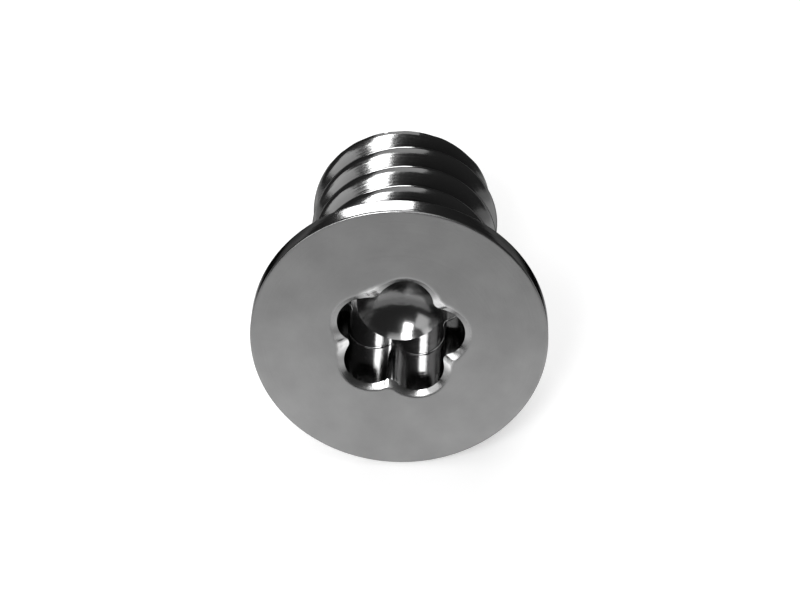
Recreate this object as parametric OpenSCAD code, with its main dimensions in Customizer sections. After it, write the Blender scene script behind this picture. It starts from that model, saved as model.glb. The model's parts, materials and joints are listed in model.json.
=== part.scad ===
// Small machine screw with a flat countersunk head and a five-lobed driver socket.
// It is one turned piece, modelled with its head up and then laid on its side, so that
// it rests on the back edge of the rim and on the edge of its tip.
// The shank is plain, at the diameter over the thread's crests.

/* [Head] */
// Diameter over the rim
head_d = 3; // [2.4:0.05:4]
// Height of the rim, its chamfer and rounding included
rim_h = 0.25; // [0.16:0.01:0.5]
// Chamfer between the face and the rim
front_chamfer = 0.02; // [0.01:0.005:0.07]
// Radius of the rounding at the back of the rim
edge_r = 0.05; // [0.02:0.005:0.07]
// Full angle of the countersunk underside
cone_angle = 90; // [70:1:120]

/* [Shank] */
// Diameter over the thread's crests
thread_d = 1.95; // [1.6:0.05:2.4]
// Length from the face to the tip
screw_l = 2.75; // [2.2:0.05:8]
// Height of the 45 degree chamfer at the tip
tip_chamfer = 0.2; // [0.05:0.01:0.4]

/* [Socket] */
// Diameter of the circle round the five lobes
socket_d = 1.34; // [1.2:0.01:1.45]
// Radius of each lobe
lobe_r = 0.28; // [0.24:0.005:0.32]
// Radius of the rounded ridges between the lobes
ridge_r = 0.08; // [0.07:0.005:0.12]
// Depth of the upright walls, the chamfer included
wall_depth = 0.7; // [0.4:0.01:1.1]
// Radius of the round dish in the floor
dish_r = 0.62; // [0.56:0.01:3]
// Flat land between the dish and the ridges
floor_land = 0.05; // [0.02:0.01:0.2]
// Chamfer round the mouth
mouth_chamfer = 0.05; // [0.01:0.005:0.055]
// Turn of the socket about the screw's axis
socket_turn = 9; // [0:0.5:72]

/* [Hidden] */
$fn = 96;

LOBES = 5;
lobe_step = 360 / LOBES;
ARC_STEPS = 6;
clear = 0.01; // how far a cut runs past the face
bite = 0.004; // how far each ridge's circle runs into its lobes, so that they cross at an angle

head_r = head_d / 2;
thread_r = thread_d / 2;
tip_r = thread_r - tip_chamfer;
chamfer_top = -screw_l + tip_chamfer;

// Centre of the rim's back rounding, and where it runs into the cone
round_r = head_r - edge_r;
back_z = -rim_h + edge_r;
cone_half = cone_angle / 2;
cone_r = round_r + edge_r * cos(cone_half);
cone_z = back_z - edge_r * sin(cone_half);
neck_z = cone_z - (cone_r - thread_r) / tan(cone_half);

// Each ridge runs a little into the lobes on both sides of it
lobe_at = socket_d / 2 - lobe_r;
half_step = lobe_step / 2;
ridge_at = lobe_at * cos(half_step)
    + sqrt(pow(lobe_r + ridge_r - bite, 2) - pow(lobe_at * sin(half_step), 2));
floor_r = ridge_at - ridge_r - floor_land;

// Lying on its side: the lean of the axis, its height at the face and the middle of its reach
run = back_z - chamfer_top;
drop = round_r - thread_r;
lean = atan2(drop, run) + asin(edge_r / norm([run, drop]));
face_h = thread_r * cos(lean) - chamfer_top * sin(lean);
reach_front = -(head_r - front_chamfer) * sin(lean);
reach_back = screw_l * cos(lean) + tip_r * sin(lean);

// Lays a screw that stands head up, with its face at z = 0, on its side with the face to -Y
module lay_down() {
    translate([0, -(reach_front + reach_back) / 2, face_h])
        rotate([90 - lean, 0, 0])
            children();
}

// Points along an arc from angle a to angle b
function arc(centre, r, a, b) = [
    for (i = [0 : ARC_STEPS])
        let (at = a + (b - a) * i / ARC_STEPS)
            centre + r * [cos(at), sin(at)]
];

// Half section of the turned blank
module blank_section() {
    polygon(concat(
        [[0, 0], [head_r - front_chamfer, 0], [head_r, -front_chamfer]],
        arc([round_r, back_z], edge_r, 0, -cone_half),
        [[thread_r, neck_z], [thread_r, chamfer_top], [tip_r, -screw_l], [0, -screw_l]]
    ));
}

// How far the dish lies below the land at distance r from the axis
function dish_depth(r) = sqrt(pow(dish_r, 2) - pow(r, 2)) - sqrt(pow(dish_r, 2) - pow(floor_r, 2));

// Half section of the dish, with the land at y = 0
module dish_section() {
    polygon(concat(
        [[0, 0]],
        [for (i = [0 : ARC_STEPS]) let (r = floor_r * i / ARC_STEPS) [r, -dish_depth(r)]]
    ));
}

// Prism with five round lobes and rounded ridges, its outline growing by flare up to its top
module lobed_prism(h, flare = 0) {
    difference() {
        union() {
            linear_extrude(h) polygon([
                for (i = [0 : LOBES - 1])
                    for (p = [[lobe_at, 0], [ridge_at, half_step]])
                        p[0] * [cos(i * lobe_step + p[1]), sin(i * lobe_step + p[1])]
            ]);
            for (i = [0 : LOBES - 1])
                rotate(i * lobe_step) translate([lobe_at, 0])
                    cylinder(h = h, r1 = lobe_r, r2 = lobe_r + flare);
        }
        for (i = [0 : LOBES - 1])
            rotate((i + 0.5) * lobe_step) translate([ridge_at, 0])
                cylinder(h = h, r1 = ridge_r, r2 = ridge_r - flare);
    }
}

// Everything that the driver's socket takes away: the walls, the chamfered mouth and the floor's dish
module socket() {
    mouth_h = mouth_chamfer + clear;
    rotate(socket_turn) {
        translate([0, 0, -wall_depth]) lobed_prism(wall_depth + clear);
        translate([0, 0, -mouth_chamfer]) lobed_prism(mouth_h, flare = mouth_h);
    }
    translate([0, 0, -wall_depth]) rotate_extrude() dish_section();
}

module screw() {
    color("gray")
        lay_down()
            difference() {
                rotate_extrude() blank_section();
                socket();
            }
}

screw();
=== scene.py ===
"""Dresses the five-lobe machine screw: one fine mesh with its thread, satin steel, floor, lamps and camera.

Lengths are millimetres in the screw's own frame, with the face at z = 0 and the tip at z = -LENGTH.
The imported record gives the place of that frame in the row, where everything is in metres.
"""
import json
import math

import bpy
import numpy as np
from mathutils import Matrix, Vector


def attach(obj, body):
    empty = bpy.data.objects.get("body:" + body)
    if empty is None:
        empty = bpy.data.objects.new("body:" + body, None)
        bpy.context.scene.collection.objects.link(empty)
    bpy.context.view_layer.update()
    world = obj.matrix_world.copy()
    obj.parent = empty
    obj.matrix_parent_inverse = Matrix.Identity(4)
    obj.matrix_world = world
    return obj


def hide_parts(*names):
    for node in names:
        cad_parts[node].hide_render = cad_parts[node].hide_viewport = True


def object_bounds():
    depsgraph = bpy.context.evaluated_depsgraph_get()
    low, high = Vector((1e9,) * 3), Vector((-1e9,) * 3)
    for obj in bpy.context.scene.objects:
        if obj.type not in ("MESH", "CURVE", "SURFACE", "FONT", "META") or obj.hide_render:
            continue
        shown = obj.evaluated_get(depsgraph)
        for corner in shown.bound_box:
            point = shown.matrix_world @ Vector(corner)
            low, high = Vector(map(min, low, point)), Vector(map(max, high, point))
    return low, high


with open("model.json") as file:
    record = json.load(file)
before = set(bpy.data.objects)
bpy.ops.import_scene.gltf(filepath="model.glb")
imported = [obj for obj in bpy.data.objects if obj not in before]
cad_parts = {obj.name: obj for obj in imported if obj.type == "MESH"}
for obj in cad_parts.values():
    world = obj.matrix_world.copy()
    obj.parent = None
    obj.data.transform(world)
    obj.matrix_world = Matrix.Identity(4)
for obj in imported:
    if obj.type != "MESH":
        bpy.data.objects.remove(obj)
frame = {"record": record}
cad_lo, cad_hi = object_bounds()
MOUNTS = {mount["name"]: mount for mount in frame["record"]["mounts"]}
MM = 0.001

# The screw's own frame in the row
FACE = np.array(MOUNTS["driver_socket"]["pos_m"])
OUT = np.array(MOUNTS["driver_socket"]["axis"])
OUT = OUT / np.linalg.norm(OUT)
ACROSS = np.array([1.0, 0.0, 0.0])
UP = np.cross(OUT, ACROSS)

# Head: a rim with an arc at its front edge and one at its back edge, and the cone
HEAD_R = (cad_hi.x - cad_lo.x) / 2 / MM
RIM_H = 0.25
FRONT_R = 0.02
EDGE_R = 0.05
CONE_HALF = math.radians(45)
ROUND_R = HEAD_R - EDGE_R
BACK_Z = -RIM_H + EDGE_R
CONE_R = ROUND_R + EDGE_R * math.cos(CONE_HALF)
CONE_Z = BACK_Z - EDGE_R * math.sin(CONE_HALF)

# Shank
THREAD_R = MOUNTS["thread"]["dims"]["r_mm"]
LENGTH = 2.75
TIP_CHAMFER = 0.2
NECK_Z = CONE_Z - (CONE_R - THREAD_R) / math.tan(CONE_HALF)
CHAMFER_TOP = -LENGTH + TIP_CHAMFER

# Thread
PITCH = 0.4
THREAD_DEPTH = 0.2
FLANK_ANGLE = math.radians(30)
FADE_LENGTH = 0.3

# The thread's shift and widths, as shares of the pitch, and its easing as a share of the flank
THREAD_PHASE = -0.26
CREST_HALF = 0.08
FLANK = THREAD_DEPTH * math.tan(FLANK_ANGLE) / PITCH
FLANK_EASE = 0.2

# Socket: round lobes with rounded ridges between them, and a dish within the floor's flat land
LOBES = 5
LOBE_STEP = 2 * math.pi / LOBES
SOCKET_TURN = math.radians(9)
SOCKET_R = 0.67
LOBE_R = 0.28
RIDGE_R = 0.08
WALL_DEPTH = 0.7
DISH_R = 0.7
FLOOR_LAND = 0.06
FLOOR_FILLET = 0.012
LOBE_AT = SOCKET_R - LOBE_R
RIDGE_AT = LOBE_AT * math.cos(LOBE_STEP / 2) + math.sqrt(
    (LOBE_R + RIDGE_R) ** 2 - (LOBE_AT * math.sin(LOBE_STEP / 2)) ** 2
)
FLOOR_R = RIDGE_AT - RIDGE_R - FLOOR_LAND

# Mouth: a chamfer that eases into the face over a share of its width, and is wider on the worn ridges
MOUTH_DEPTH = 0.038
MOUTH_FLARE = 0.076
MOUTH_EASE = 0.15
WEAR_HALF = math.radians(15)

# Added width on each ridge, anticlockwise from the first lobe
RIDGE_WEAR = np.array([0.05, 0.09, 0.06, 0.025, 0.04])

# Mesh: points round the axis, rows in each stretch, how near points weld and where an edge is sharp
COLUMNS = 336
ROWS_PER_PITCH = 32
DISH_ROWS = 10
FILLET_ROWS = 6
LIP_ROWS = 9
FRONT_ROWS = 7
BACK_ROWS = 6
WELD = 1e-6
SHARP_ANGLE = math.radians(32)

# Places of rows on a straight stretch, as shares of its length, with some close to its ends
LAND_AT = [0.06, 0.35, 0.7, 0.94]
WALL_AT = np.arange(1, 39, 6) / 39
FACE_AT = [0.01, 0.05, 0.2, 0.4, 0.6, 0.8, 0.92, 0.985]
CONE_AT = [0.03, 0.35, 0.7, 0.97, 1]
END_AT = [0.03, 0.3, 0.6, 1]

# Depths over which a finish sets in
EDGE_FADE = 0.008
DISH_FADE = 0.03

# Greys of the steel, at the darkest and the lightest of its mottle
FACE_GREYS = (0.265, 0.325)
# Painted shade: a darker tone on the dish, the rim, the cone and the shank, in place of shade in the socket
# and of dark reflections on the sides
PAINTED_SHADE_GREYS = (0.17, 0.205)
# Painted shade: a still darker tone deep in the thread's groove, in place of shade and dark reflections
# there
PAINTED_GROOVE_SHADE_GREYS = (0.05, 0.07)
# Worn ridge corners of the mouth, painted bright as painted glints
WORN_GLINT_GREYS = (0.75, 0.90)

# Patterns on the steel, with the scale per millimetre
MOTTLE = {"Scale": 2.2, "Detail": 3.0}
RUB_GLINT = {"Scale": 13.0, "Detail": 3.0}
RINGS = {"Scale": 26.0, "Detail": 2.0}
GRAIN = {"Scale": 38.0, "Detail": 2.0}
MOTTLE_CONTRAST = 2.0
RUB_GLINT_CONTRAST = 1.2
RING_WANDER = 0.05

# Surface of the steel: roughness, relief of rings and grain, and tint at a grazing angle
SATIN_ROUGH = 0.26
GRAIN_ROUGH = 0.08
POLISH_GAIN = 0.16
RING_PART = 0.7
RELIEF_DEPTH = 0.004
RELIEF_STRENGTH = 0.25
GRAZING_TINT = 0.1

# Floor: a painted pool of light with its middle behind the face, and its greys and glow near the screw and
# far from it
FLOOR_HALF = 400
POOL_MIDDLE_BACK = 3.0
POOL_INNER = 6.8
POOL_OUTER = 10.8
PAINTED_POOL_GREYS = (0.65, 0.36)
PAINTED_POOL_GLOW = (0.5, 0.28)

# Light
LAMP_AIM = 1.3
ROOM_GREY = 0.075

# Camera, with its angles in degrees and the face's centre at a pixel of an 800 by 600 picture
PICTURE_W = 800
PICTURE_H = 600
FACE_PIXEL = (399.0, 339.6)
PIXELS_PER_MM = 99.5
VIEW_DISTANCE = 37.5
VIEW_AZIMUTH = 1.6
VIEW_ELEVATION = 44.6
SENSOR_W = 36
CLIP_NEAR = 1
CLIP_FAR = 1000


def column(values):
    """Numbers stood up as a column, one for each row of a grid."""
    return np.array(values, float)[:, None]


def all_round(values, angle):
    """A column of numbers, repeated at every angle."""
    return values + 0 * angle


def smooth_step(x):
    """Rises from 0 to 1 as x does, level at both ends: 3 x^2 - 2 x^3."""
    x = np.clip(x, 0, 1)
    return x * x * (3 - 2 * x)


def eased_corner(x, ease):
    """0 before x = 0 and x past it, with the parabola (x + ease)^2 / (4 ease) from -ease to ease."""
    return np.where(x > ease, x, np.maximum(x + ease, 0) ** 2 / (4 * ease))


def eased_ramp(x, ease):
    """Rises in a straight line from 0 at x = 0 to 1 at x = 1, as one eased corner less the next."""
    return eased_corner(x, ease) - eased_corner(x - 1, ease)


def off_lobe_axis(angle):
    """Angle to the middle of the nearest lobe, from 0 there to half a step on a ridge: the angle from the
    first lobe, wrapped to half a step on either side, without its sign."""
    half = LOBE_STEP / 2
    return np.abs((angle - SOCKET_TURN + half) % LOBE_STEP - half)


def ray_crossing(centre, radius, off, side):
    """Distance from the axis at which a ray crosses a circle: p cos a + s sqrt(r^2 - p^2 sin^2 a).

    Here p is the distance of the circle's centre, r its radius and a the ray's angle off that centre, and
    s is 1 on the far side and -1 on the near side.
    """
    half_chord = np.sqrt(np.maximum(radius**2 - (centre * np.sin(off)) ** 2, 0))
    return centre * np.cos(off) + side * half_chord


def lobed_outline(angle, offset):
    """Distance from the axis to the socket's outline, moved outwards by an offset.

    Within a lobe it is the far crossing of a ray with the lobe's circle, and within a ridge the near
    crossing with the ridge's circle. The circles touch on the line between their centres, at a share of
    the way that the two radii give, and the angle of that point is where one takes over from the other.
    """
    half = LOBE_STEP / 2
    off_lobe = off_lobe_axis(angle)
    lobe_r = LOBE_R + offset
    ridge_r = RIDGE_R - offset
    share = lobe_r / (LOBE_R + RIDGE_R)
    touch_x = LOBE_AT + share * (RIDGE_AT * math.cos(half) - LOBE_AT)
    touch_y = share * RIDGE_AT * math.sin(half)
    lobe = ray_crossing(LOBE_AT, lobe_r, off_lobe, 1)
    ridge = ray_crossing(RIDGE_AT, ridge_r, half - off_lobe, -1)
    return np.where(off_lobe < np.arctan2(touch_y, touch_x), lobe, ridge)


def ridge_wear(angle):
    """Share of wear on the mouth's edge: a smooth step from 0, half the worn width off, to 1 on a ridge."""
    off_ridge = LOBE_STEP / 2 - off_lobe_axis(angle)
    return smooth_step(1 - off_ridge / WEAR_HALF)


def worn_width(angle):
    """How much wider the mouth's chamfer is: each ridge's own wear, times the share of wear."""
    ridge = np.floor((angle - SOCKET_TURN) / LOBE_STEP).astype(int) % LOBES
    return RIDGE_WEAR[ridge] * ridge_wear(angle)


def mouth_outline(angle, share):
    """Outline within the mouth's chamfer, from the wall at share 0 to the face at share 1.

    In a lobe it is the lobed outline at an offset. On a ridge it moves straight out from the axis instead,
    so that a worn ridge stays round.
    """
    wear = ridge_wear(angle)
    outline = lobed_outline(angle, MOUTH_FLARE * (1 - wear) * share)
    return outline + (MOUTH_FLARE * wear + worn_width(angle)) * share


def mouth_depth(angle):
    """Depth of the mouth's chamfer, which keeps its slope where it is wider."""
    return MOUTH_DEPTH * (1 + worn_width(angle) / MOUTH_FLARE)


def thread_form(z, angle):
    """How deep the thread's groove is, 0 on the crest and 1 in the root, at a height and an angle.

    One right-hand turn climbs by the pitch, so the place within a turn is z / pitch - angle / 2 pi.
    From the crest's land a straight flank falls to the root's land, with eased corners.
    """
    turn = z / PITCH - angle / (2 * math.pi) + THREAD_PHASE
    off_crest = np.abs((turn + 0.5) % 1 - 0.5)
    return eased_ramp((off_crest - CREST_HALF) / FLANK, FLANK_EASE)


def crest_radius(z):
    """Radius over the crests: a cylinder that ends in the cone of the tip's 45 degree chamfer."""
    return THREAD_R - np.maximum(CHAMFER_TOP - z, 0)


def shank_radius(z, angle):
    """Radius of the threaded shank: the cylinder less the groove, which fades out below the head,
    and no more than the radius over the crests."""
    fade = smooth_step((NECK_Z - z) / FADE_LENGTH)
    threaded = THREAD_R - THREAD_DEPTH * fade * thread_form(z, angle)
    return np.minimum(threaded, crest_radius(z))


def socket_rows(angle):
    """Rows from the middle of the floor out to the mouth: dish, land, fillet, upright walls and chamfer.

    The dish is part of a sphere, so its depth below the land is sqrt(d^2 - r^2) - sqrt(d^2 - f^2), where d
    is the sphere's radius and f the radius of the dish's edge. The land is flat from there to the outline.
    Past the land each row is the lobed outline at an offset and a height, and the fillet is a quarter of a
    circle. The chamfer rises in a straight line and eases into the face.
    """
    dish = column(FLOOR_R * np.linspace(0, 1, DISH_ROWS))
    land = column(LAND_AT)
    foot = column(np.linspace(0, math.pi / 2, FILLET_ROWS))
    wall = column(WALL_AT)
    lip = column(np.linspace(0, 1, LIP_ROWS))
    sag = np.sqrt(DISH_R**2 - dish**2) - math.sqrt(DISH_R**2 - FLOOR_R**2)
    wall_foot = -WALL_DEPTH + FLOOR_FILLET
    wall_top = -mouth_depth(angle)
    rise = (eased_ramp(MOUTH_EASE + lip, MOUTH_EASE) - MOUTH_EASE) / (1 - MOUTH_EASE)
    radius = np.vstack([
        all_round(dish, angle),
        FLOOR_R + land * (lobed_outline(angle, -FLOOR_FILLET) - FLOOR_R),
        lobed_outline(angle, FLOOR_FILLET * (np.sin(foot) - 1)),
        lobed_outline(angle, 0 * wall),
        mouth_outline(angle, lip),
    ])
    height = np.vstack([
        all_round(-WALL_DEPTH - sag, angle),
        all_round(-WALL_DEPTH + 0 * land, angle),
        all_round(-WALL_DEPTH + FLOOR_FILLET * (1 - np.cos(foot)), angle),
        wall_foot + wall * (wall_top - wall_foot),
        wall_top * (1 - rise),
    ])
    return radius, height


def head_rows(angle):
    """Rows over the face, round the rim and down the cone. On the face each row lies a share of the way
    from the mouth's outline to a circle, the rim's two edges are arcs, and the cone is a straight line."""
    face = column(FACE_AT)
    front = column(np.linspace(math.pi / 2, 0, FRONT_ROWS))
    back = column(np.linspace(0, -CONE_HALF, BACK_ROWS))
    cone = column(CONE_AT)
    mouth = mouth_outline(angle, 1)
    face_r = HEAD_R - FRONT_R
    radius = np.vstack([
        mouth + face * (face_r - mouth),
        all_round(face_r + FRONT_R * np.cos(front), angle),
        all_round(ROUND_R + EDGE_R * np.cos(back), angle),
        all_round(CONE_R + cone * (THREAD_R - CONE_R), angle),
    ])
    height = np.vstack([
        0 * face,
        -FRONT_R + FRONT_R * np.sin(front),
        BACK_Z + EDGE_R * np.sin(back),
        CONE_Z + cone * (NECK_Z - CONE_Z),
    ])
    return radius, all_round(height, angle)


def shank_rows(angle):
    """Rows that follow the thread's helix, z = -length + pitch (k - 1 + angle / 2 pi), where k falls from
    row to row and z is held between the neck and the tip. Then the tip's flat end closes on the axis."""
    turns = math.ceil((NECK_Z + LENGTH) / PITCH) + 1
    climb = column(np.arange(turns * ROWS_PER_PITCH, -1, -1) / ROWS_PER_PITCH)
    helix = np.clip(-LENGTH + PITCH * (climb - 1 + angle / (2 * math.pi)), -LENGTH, NECK_Z)
    end = column(END_AT)
    radius = np.vstack([
        shank_radius(helix, angle),
        shank_radius(-LENGTH, angle) * (1 - end),
    ])
    height = np.vstack([
        helix,
        all_round(-LENGTH + 0 * end, angle),
    ])
    return radius, height


def finish_and_painted_light_shares(angle, socket_z, head_z, shank_r, shank_z):
    """Shares from 0 to 1 that say where each finish lies on the grid.

    Painted shade is on the dish, past the rim's front edge and on the shank: a darker tone in place of
    shade in the socket and of dark reflections on the sides. Polish is there and in all of the socket. Edge
    is the wear on the mouth's chamfer, which is painted bright as painted glints, and groove is the depth
    in the thread as a share of its full depth, by which the groove is painted darker as painted shade. At
    its border a finish sets in evenly over a short way.
    """
    sunk = -socket_z
    on_dish = np.clip((sunk - WALL_DEPTH) / DISH_FADE, 0, 1)
    in_socket = np.clip(sunk / MOUTH_DEPTH, 0, 1)
    below_face = np.clip(sunk / EDGE_FADE, 0, 1)
    above_wall = np.clip((mouth_depth(angle) - sunk) / EDGE_FADE + 1, 0, 1)
    # Worn ridge corners on the chamfer, which the steel paints bright as painted glints
    worn = below_face * above_wall * ridge_wear(angle)
    past_front = np.clip(-head_z / FRONT_R, 0, 1)
    on_shank = np.ones_like(shank_r)
    in_groove = np.where(shank_z > -LENGTH, (crest_radius(shank_z) - shank_r) / THREAD_DEPTH, 0)
    # Of these shares the first paints shade on the dish and the sides, edge paints glints on the worn
    # corners and groove paints shade in the thread
    return {
        "painted_shade": np.vstack([on_dish, past_front, on_shank]),
        "polish": np.vstack([in_socket, past_front, on_shank]),
        "edge": np.vstack([worn, 0 * head_z, 0 * shank_r]),
        "groove": np.vstack([0 * sunk, 0 * head_z, in_groove]),
    }


def grid_triangles(shape):
    """Two triangles for each cell of a grid of rows and columns, as the numbers of their points."""
    index = np.arange(shape[0] * shape[1]).reshape(shape)
    a = index[:-1, :-1].ravel()
    b = index[1:, :-1].ravel()
    c = index[1:, 1:].ravel()
    d = index[:-1, 1:].ravel()
    return np.concatenate([np.stack([a, b, c], 1), np.stack([a, c, d], 1)])


def screw_mesh():
    """The whole screw as one closed surface: a grid of radius and height over row and angle, cut into
    triangles. Points that coincide are welded into one, and triangles left without an area are dropped."""
    angle = np.linspace(0, 2 * math.pi, COLUMNS + 1)[None, :]
    socket_r, socket_z = socket_rows(angle)
    head_r, head_z = head_rows(angle)
    shank_r, shank_z = shank_rows(angle)
    radius = np.vstack([socket_r, head_r, shank_r])
    height = np.vstack([socket_z, head_z, shank_z])
    own = np.stack([radius * np.cos(angle), radius * np.sin(angle), height], axis=-1).reshape(-1, 3)

    _, first, welded = np.unique(
        np.round(own / WELD).astype(np.int64), axis=0, return_index=True, return_inverse=True
    )
    triangles = welded.ravel()[grid_triangles(radius.shape)]
    i, j, k = triangles.T
    triangles = triangles[(i != j) & (j != k) & (k != i)]
    place = FACE + MM * own[first] @ np.stack([ACROSS, UP, OUT])

    mesh = bpy.data.meshes.new("screw_turned")
    mesh.vertices.add(len(place))
    mesh.vertices.foreach_set("co", place.ravel())
    mesh.loops.add(triangles.size)
    mesh.loops.foreach_set("vertex_index", triangles.ravel())
    mesh.polygons.add(len(triangles))
    mesh.polygons.foreach_set("loop_start", np.arange(0, triangles.size, 3))
    mesh.update(calc_edges=True)
    mesh.validate()
    mesh.polygons.foreach_set("use_smooth", np.ones(len(mesh.polygons), bool))
    mesh.set_sharp_from_angle(angle=SHARP_ANGLE)
    for name, share in finish_and_painted_light_shares(angle, socket_z, head_z, shank_r, shank_z).items():
        made = mesh.attributes.new(name, "FLOAT", "POINT")
        made.data.foreach_set("value", share.ravel()[first])
    return mesh


class Nodes:
    """A short way to add nodes to a material and join them."""

    def __init__(self, name):
        self.material = bpy.data.materials.new(name)
        self.material.use_nodes = True
        self.tree = self.material.node_tree
        self.tree.nodes.clear()

    def add(self, kind, inputs=(), **settings):
        """A new node with its settings. Inputs pair a socket's name or number with a value or an output."""
        made = self.tree.nodes.new(kind)
        for key, value in settings.items():
            setattr(made, key, value)
        for key, value in dict(inputs).items():
            if isinstance(value, bpy.types.NodeSocket):
                self.tree.links.new(value, made.inputs[key])
            else:
                made.inputs[key].default_value = value
        return made

    def math(self, operation, *values):
        """Output of a Math node on two or three numbers or outputs."""
        return self.add("ShaderNodeMath", enumerate(values), operation=operation).outputs[0]

    def mix(self, share, low, high):
        """Colour between two colours, by a share from 0 to 1."""
        return self.add("ShaderNodeMix", {0: share, 6: low, 7: high}, data_type="RGBA").outputs[2]

    def grey(self, share, greys):
        """Grey colour between two levels, by a share from 0 to 1."""
        low, high = greys
        return self.mix(share, (low, low, low, 1), (high, high, high, 1))

    def share(self, name):
        """One of the mesh's finish shares."""
        return self.add("ShaderNodeAttribute", attribute_name=name).outputs["Fac"]

    def noise(self, where, pattern):
        """Noise in three dimensions, with a pattern's scale and detail."""
        return self.add("ShaderNodeTexNoise", {"Vector": where, **pattern}).outputs["Fac"]


def satin_steel():
    """Satin turned steel with a faint mottle. The rim, the cone, the shank and the dish are darker, as
    painted shade, the thread's groove is darker still, as painted shade, and the worn corners are painted
    bright, as painted glints. Its relief is fine rings and a grain."""
    nodes = Nodes("satin_steel")
    where = nodes.add("ShaderNodeTexCoord").outputs["Object"]
    turn = Matrix(np.stack([ACROSS, UP, OUT], axis=1)).to_euler()
    own_frame = {"Vector": where, "Location": FACE, "Rotation": turn, "Scale": (MM, MM, MM)}
    own = nodes.add("ShaderNodeMapping", own_frame, vector_type="TEXTURE").outputs[0]
    x, y, z = nodes.add("ShaderNodeSeparateXYZ", {0: own}).outputs
    flat = nodes.add("ShaderNodeCombineXYZ", {0: x, 1: y}).outputs[0]
    radial = nodes.add("ShaderNodeVectorMath", {0: flat}, operation="LENGTH").outputs["Value"]

    mottle = nodes.noise(own, MOTTLE)
    rub_glint = nodes.noise(own, RUB_GLINT)
    grain = nodes.noise(own, GRAIN)
    along = nodes.math("MULTIPLY_ADD", mottle, RING_WANDER, nodes.math("SUBTRACT", radial, z))
    rings = nodes.add("ShaderNodeTexNoise", {"W": along, **RINGS}, noise_dimensions="1D").outputs["Fac"]

    tone = nodes.math("MULTIPLY_ADD", mottle, MOTTLE_CONTRAST, 0.5 - MOTTLE_CONTRAST / 2)
    # Painted shade: the darker tone on the dish, the rim, the cone and the shank
    colour = nodes.mix(nodes.share("painted_shade"), nodes.grey(tone, FACE_GREYS), nodes.grey(tone, PAINTED_SHADE_GREYS))
    # Painted shade in the thread's groove, by its depth
    colour = nodes.mix(nodes.share("groove"), colour, nodes.grey(tone, PAINTED_GROOVE_SHADE_GREYS))
    # Painted glints on the worn ridge corners, made patchy by a noise
    patchy = nodes.math("MULTIPLY_ADD", rub_glint, RUB_GLINT_CONTRAST, 1 - RUB_GLINT_CONTRAST / 2)
    worn = nodes.math("MULTIPLY", nodes.share("edge"), patchy)
    worn = nodes.add("ShaderNodeClamp", {"Value": worn}).outputs[0]
    colour = nodes.mix(worn, colour, nodes.grey(tone, WORN_GLINT_GREYS))

    rough = nodes.math("MULTIPLY_ADD", grain, GRAIN_ROUGH, SATIN_ROUGH)
    rough = nodes.math("MULTIPLY_ADD", nodes.share("polish"), -POLISH_GAIN, rough)
    relief = nodes.math("MULTIPLY_ADD", rings, RING_PART, nodes.math("MULTIPLY", grain, 1 - RING_PART))
    bump = nodes.add("ShaderNodeBump", {
        "Height": relief,
        "Strength": RELIEF_STRENGTH,
        "Distance": RELIEF_DEPTH * MM,
    }).outputs[0]
    steel = nodes.add("ShaderNodeBsdfPrincipled", {
        "Base Color": colour,
        "Metallic": 1.0,
        "Roughness": rough,
        "Specular Tint": (GRAZING_TINT, GRAZING_TINT, GRAZING_TINT, 1),
        "Normal": bump,
    }).outputs[0]
    nodes.add("ShaderNodeOutputMaterial", {"Surface": steel})
    return nodes.material


def white_floor():
    """White matt floor that takes shadows. To the camera and in reflections it also glows a little, so that
    it is white away from the shadow. Far from the screw both fall off, which paints a pool of light round
    the screw."""
    nodes = Nodes("white_floor")
    path = nodes.add("ShaderNodeLightPath").outputs
    seen = nodes.math("MAXIMUM", path["Is Camera Ray"], path["Is Glossy Ray"])
    seen = nodes.math("MAXIMUM", seen, path["Is Transmission Ray"])
    where = nodes.add("ShaderNodeTexCoord").outputs["Object"]
    middle = (0, POOL_MIDDLE_BACK * MM, 0)
    away = nodes.add("ShaderNodeVectorMath", {0: where, 1: middle}, operation="DISTANCE").outputs["Value"]
    fall = {"Value": away, "From Min": POOL_INNER * MM, "From Max": POOL_OUTER * MM}
    far = nodes.add("ShaderNodeMapRange", fall, interpolation_type="SMOOTHSTEP").outputs["Result"]
    near_glow, far_glow = PAINTED_POOL_GLOW
    # Glow and grey fall off from near the screw to far from it: a painted pool of light
    strength = nodes.math("MULTIPLY_ADD", far, far_glow - near_glow, near_glow)
    strength = nodes.math("MULTIPLY", seen, strength)
    matt = nodes.add("ShaderNodeBsdfDiffuse", {"Color": nodes.grey(far, PAINTED_POOL_GREYS)}).outputs[0]
    glow = nodes.add("ShaderNodeEmission", {"Strength": strength}).outputs[0]
    both = nodes.add("ShaderNodeAddShader", {0: matt, 1: glow}).outputs[0]
    nodes.add("ShaderNodeOutputMaterial", {"Surface": both})
    return nodes.material


def add_object(name, data):
    """An object in the scene with a mesh, a lamp or a camera in it."""
    made = bpy.data.objects.new(name, data)
    bpy.context.scene.collection.objects.link(made)
    return made


def add_screw():
    """The dressed screw, in place of its solid."""
    piece = add_object("screw_turned", screw_mesh())
    piece.data.materials.append(satin_steel())
    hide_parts("screw")
    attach(piece, "root")


def add_floor():
    """A wide square floor at the height that the screw rests on."""
    mesh = bpy.data.meshes.new("floor")
    corners = FLOOR_HALF * MM * np.array([[-1, -1, 0], [1, -1, 0], [1, 1, 0], [-1, 1, 0]])
    mesh.from_pydata(corners.tolist(), [], [[0, 1, 2, 3]])
    mesh.materials.append(white_floor())
    floor = add_object("floor", mesh)


def direction(azimuth, elevation):
    """Unit vector away from the screw, by degrees. Azimuth 0 is in front of the face and 90 to the right:
    x = sin a cos e, y = -cos a cos e, z = sin e."""
    a = math.radians(azimuth)
    e = math.radians(elevation)
    return Vector((math.sin(a) * math.cos(e), -math.cos(a) * math.cos(e), math.sin(e)))


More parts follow.
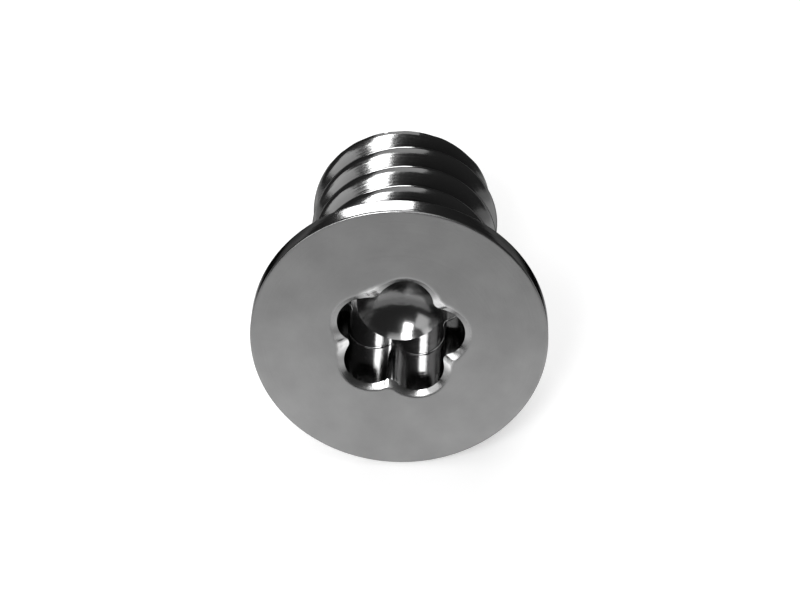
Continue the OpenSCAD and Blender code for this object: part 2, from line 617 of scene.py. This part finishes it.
def add_lamp(name, azimuth, elevation, distance, size, radiance):
    """A rectangular lamp aimed at the screw. Its power is pi times its area times the radiance it shows."""
    away = direction(azimuth, elevation)
    width, height = size
    data = bpy.data.lights.new(name, "AREA")
    data.shape = "RECTANGLE"
    data.size = width * MM
    data.size_y = height * MM
    data.energy = math.pi * data.size * data.size_y * radiance
    lamp = add_object(name, data)
    lamp.location = MM * (distance * away + Vector((0, 0, LAMP_AIM)))
    lamp.rotation_euler = away.to_track_quat("Z", "Y").to_euler()


def add_lights():
    """A low strip behind on the left, a window in front on the left with a dim fill beside it, a long soft
    box overhead and a dim room."""
    add_lamp("back_strip", azimuth=190.5, elevation=17, distance=60, size=(29, 18), radiance=20.0)
    add_lamp("front_window", azimuth=-16.5, elevation=42, distance=60, size=(14, 24), radiance=18.0)
    add_lamp("left_fill", azimuth=-43.5, elevation=22, distance=60, size=(30, 24), radiance=1.8)
    add_lamp("overhead_box", azimuth=0, elevation=88, distance=90, size=(80, 140), radiance=1.1)
    world = bpy.data.worlds.new("dim_room")
    world.use_nodes = True
    room = world.node_tree.nodes["Background"]
    room.inputs["Color"].default_value = (ROOM_GREY, ROOM_GREY, ROOM_GREY, 1)
    bpy.context.scene.world = world


def add_camera():
    """A long lens that looks along the photograph's direction, with the face's centre at its pixel."""
    back = direction(VIEW_AZIMUTH, VIEW_ELEVATION)
    aim = (-back).to_track_quat("-Z", "Y")
    right = aim @ Vector((1, 0, 0))
    up = aim @ Vector((0, 1, 0))
    off_x = (PICTURE_W / 2 - FACE_PIXEL[0]) / PIXELS_PER_MM
    off_y = (FACE_PIXEL[1] - PICTURE_H / 2) / PIXELS_PER_MM
    data = bpy.data.cameras.new("camera")
    data.sensor_width = SENSOR_W
    data.lens = SENSOR_W * PIXELS_PER_MM * VIEW_DISTANCE / PICTURE_W
    data.clip_start = CLIP_NEAR * MM
    data.clip_end = CLIP_FAR * MM
    camera = add_object("camera", data)
    camera.location = Vector(FACE) + MM * (off_x * right + off_y * up + VIEW_DISTANCE * back)
    camera.rotation_mode = "QUATERNION"
    camera.rotation_quaternion = aim
    bpy.context.scene.camera = camera


add_screw()
add_floor()
add_lights()
add_camera()
bpy.context.scene.view_settings.view_transform = "Standard"
